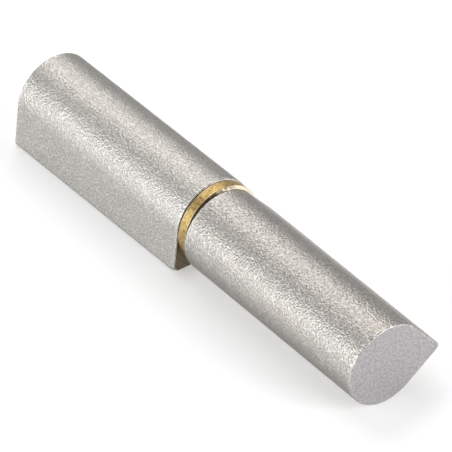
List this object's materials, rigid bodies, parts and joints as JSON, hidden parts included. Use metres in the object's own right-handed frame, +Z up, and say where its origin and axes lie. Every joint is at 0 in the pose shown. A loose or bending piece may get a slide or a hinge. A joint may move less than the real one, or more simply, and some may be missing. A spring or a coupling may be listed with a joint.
{
  "type": "weld on barrel hinge",
  "caption": "Weld on barrel hinge of drop section steel bar: a pin leaf and a socket leaf that turn and lift apart on a pressed pin, with a brass bearing washer between them.",
  "frame": {"origin": "middle of the pin leaf's lower weld face, the face it lies on", "axes": "+X along the hinge axis from the pin leaf to the socket leaf, +Z up out of the weld face's back, so the face looks along -Z"},
  "size_m": [0.0978, 0.0205, 0.0165],
  "materials": {
    "pin_leaf": "bare steel, tumbled and blasted to a fine sparkling grain, sawn ends",
    "hinge_pin": "bright turned steel",
    "brass_washer": "turned brass, fine turning lines",
    "socket_leaf": "bare steel, tumbled and blasted to a fine sparkling grain, sawn ends"
  },
  "bodies": {
    "pin_leaf": {"pin_leaf": "pin_leaf", "hinge_pin": "hinge_pin"},
    "washer": {"brass_washer": "brass_washer"},
    "socket_leaf": {"socket_leaf": "socket_leaf"}
  },
  "joints": [
    {"name": "swing", "type": "hinge", "parent": "pin_leaf", "child": "washer", "pos_m": [0.02365, 0.00403, 0.0082], "axis": [1, 0, 0], "continuous": true},
    {"name": "lift_off", "type": "slide", "parent": "washer", "child": "socket_leaf", "axis": [1, 0, 0], "range_m": [0, 0.033]}
  ]
}
